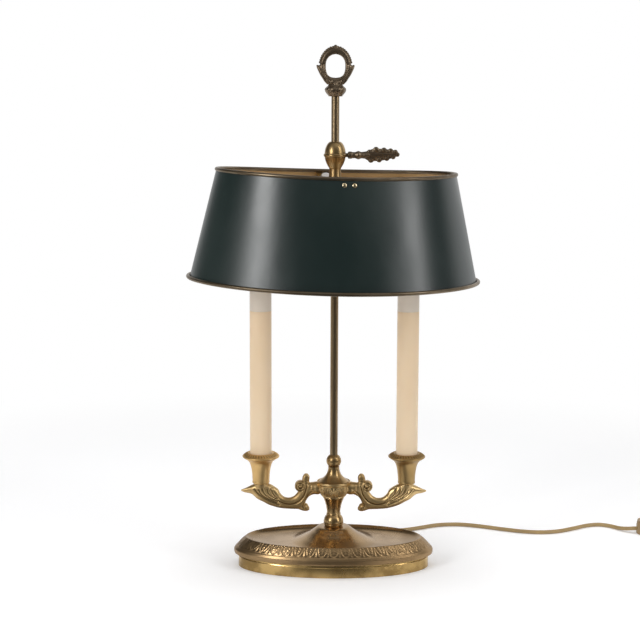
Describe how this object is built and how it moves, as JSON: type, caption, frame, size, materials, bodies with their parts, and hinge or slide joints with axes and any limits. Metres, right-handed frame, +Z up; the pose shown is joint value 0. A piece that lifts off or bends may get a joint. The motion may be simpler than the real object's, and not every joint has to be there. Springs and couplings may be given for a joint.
{
  "type": "bouillotte lamp",
  "caption": "Table lamp with electric candles on scroll arms under an oval sheet-metal shade that slides and turns on a centre rod, held by a leaf-shaped clamp key.",
  "frame": {"origin": "centre of the oval base's underside, on the surface that the lamp stands on, under the rod's axis", "axes": "+Z up along the rod, +X along the base's length towards the arm under the clamp key, -Y to the front"},
  "size_m": [0.7177, 0.3313, 0.6003],
  "materials": {
    "base_brass": "aged brass, satin, darker in the recesses of the leaf border",
    "stem_brass": "turned aged brass, satin",
    "threaded_brass": "plain machined brass",
    "rod_brass": "aged brass, lightly spotted",
    "cast_brass": "cast aged brass, worn bright on the raised parts",
    "dark_brass": "dark patinated cast brass",
    "clamp_brass": "patinated turned brass",
    "rim_brass": "rolled brass-coloured rim",
    "strip_brass": "brass sheet and screws",
    "iron": "cast iron",
    "felt": "dark green felt",
    "connector_plastic": "off-white moulded plastic",
    "cord_gold": "gold-brown cord sheath",
    "bush_plastic": "dark brown soft plastic",
    "sleeve_ivory": "ivory candle sleeve, satin",
    "holder_white": "off-white lampholder",
    "plated_metal": "nickel-plated",
    "opal_glass": "opal white glass",
    "shade_paint": "dark bottle green paint outside, brass-coloured inside, semi-gloss",
    "paper_white": "blank off-white paper",
    "cord_fitting": "gold-brown moulded plastic",
    "rocker_brown": "darker gold-brown moulded plastic"
  },
  "bodies": {
    "stand": {"base_shell": "base_brass", "foot_ring": "base_brass", "base_weight": "iron", "base_washer": "threaded_brass", "base_nut": "threaded_brass", "felt_pad": "felt", "centre_tube": "threaded_brass", "terminal_block": "connector_plastic", "inner_lead": "cord_gold", "cable_bush": "bush_plastic", "lower_stem": "stem_brass", "hub_bowl": "stem_brass", "trumpet_cover": "stem_brass", "rod_ball": "stem_brass", "rod": "rod_brass", "finial": "dark_brass", "arm_left": "cast_brass", "arm_right": "cast_brass", "candle_cup_left": "cast_brass", "candle_cup_right": "cast_brass", "holder_tube_left": "threaded_brass", "holder_tube_right": "threaded_brass", "candle_sleeve_left": "sleeve_ivory", "candle_sleeve_right": "sleeve_ivory", "lampholder_left": "holder_white", "lampholder_right": "holder_white", "bulb_cap_left": "plated_metal", "bulb_cap_right": "plated_metal", "bulb_glass_left": "opal_glass", "bulb_glass_right": "opal_glass", "cord_lead": "cord_gold", "switch_bottom": "cord_fitting", "switch_top": "cord_fitting", "rocker_pin": "plated_metal", "cord_tail": "cord_gold", "cord_coil": "cord_gold", "cord_end": "cord_gold", "plug_body": "cord_fitting", "plug_pins": "plated_metal"},
    "shade_clamp": {"clamp_collar": "clamp_brass", "ring_nut": "clamp_brass"},
    "clamp_key": {"clamp_key": "dark_brass"},
    "shade": {"shade_wall": "shade_paint", "shade_top_rim": "rim_brass", "shade_bottom_rim": "rim_brass", "cross_strip": "strip_brass", "strip_screws": "strip_brass", "strip_nuts": "strip_brass", "shade_label": "paper_white"},
    "rocker": {"switch_rocker": "rocker_brown"}
  },
  "joints": [
    {"name": "shade_slide", "type": "slide", "parent": "stand", "child": "shade_clamp", "axis": [0, 0, 1], "range_m": [-0.084, 0.048]},
    {"name": "shade_swivel", "type": "hinge", "parent": "shade_clamp", "child": "shade", "pos_m": [0, 0, 0.43941], "axis": [0, 0, 1], "range_deg": [-50, 34]},
    {"name": "key_turn", "type": "hinge", "parent": "shade_clamp", "child": "clamp_key", "pos_m": [0.0131, 0, 0.47676], "axis": [1, 0, 0], "range_deg": [0, 360]},
    {"name": "switch_tip", "type": "hinge", "parent": "stand", "child": "rocker", "pos_m": [0.413, 0.133, 0.012], "axis": [0, -1, 0], "range_deg": [0, 16]}
  ]
}
